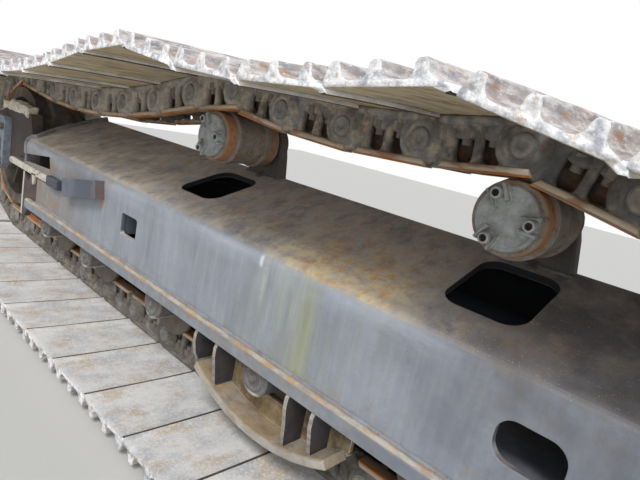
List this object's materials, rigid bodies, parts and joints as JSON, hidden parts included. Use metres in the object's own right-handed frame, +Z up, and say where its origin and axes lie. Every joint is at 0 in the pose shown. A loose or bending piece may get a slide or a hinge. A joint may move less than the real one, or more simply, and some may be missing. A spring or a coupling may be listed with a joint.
{
  "type": "crawler track unit",
  "caption": "Crawler track unit of an excavator: hollow side frame, idler, sprocket with travel drive, rollers, and a closed track of triple-grouser shoes.",
  "frame": {"origin": "on the ground, below the middle of the track's length and width", "axes": "+X towards the idler (front) end, +Y outboard, +Z up"},
  "size_m": [4.423, 0.8, 0.887],
  "materials": {
    "faded_paint": "faded dark blue-grey paint, dusty and rust stained",
    "dusty_steel": "dusty dark brown forged steel",
    "worn_steel": "scraped bare steel with tan dust",
    "cast_cover": "blue-grey cast iron",
    "rusty_steel": "rusty tan-brown steel",
    "cream_paint": "cream paint, chipped",
    "spring_paint": "red-brown primer"
  },
  "bodies": {
    "root": {"side_frame": "faded_paint", "bottom_flange": "faded_paint", "fork_outer": "faded_paint", "fork_inner": "faded_paint", "guide_bars": "cream_paint", "side_step": "faded_paint", "leg_front": "faded_paint", "leg_rear": "faded_paint", "carrier_bracket_front": "faded_paint", "carrier_bracket_rear": "faded_paint", "carrier_roller_front": "rusty_steel", "carrier_roller_rear": "rusty_steel", "carrier_cover_front": "cast_cover", "carrier_cover_rear": "cast_cover", "bottom_rollers_outer": "dusty_steel", "bottom_rollers_inner": "dusty_steel", "roller_shafts": "dusty_steel", "roller_collars": "dusty_steel", "track_guard": "rusty_steel", "guard_ribs": "dusty_steel", "idler_axle": "dusty_steel", "idler_blocks": "dusty_steel", "idler_yoke": "dusty_steel", "recoil_spring": "spring_paint", "adjuster": "dusty_steel", "motor_ring": "faded_paint", "sprocket": "dusty_steel", "final_drive": "dusty_steel", "final_drive_cover": "faded_paint", "travel_motor": "dusty_steel", "motor_guard": "faded_paint", "track_shoes": "worn_steel", "link_rail_outer": "dusty_steel", "link_rail_inner": "dusty_steel", "track_bushings": "dusty_steel", "spring_seat": "faded_paint"},
    "idler": {"idler": "dusty_steel"}
  },
  "joints": [
    {"name": "idler_spin", "type": "hinge", "parent": "root", "child": "idler", "pos_m": [1.81915, 0, 0.4063], "axis": [0, 1, 0], "continuous": true}
  ]
}
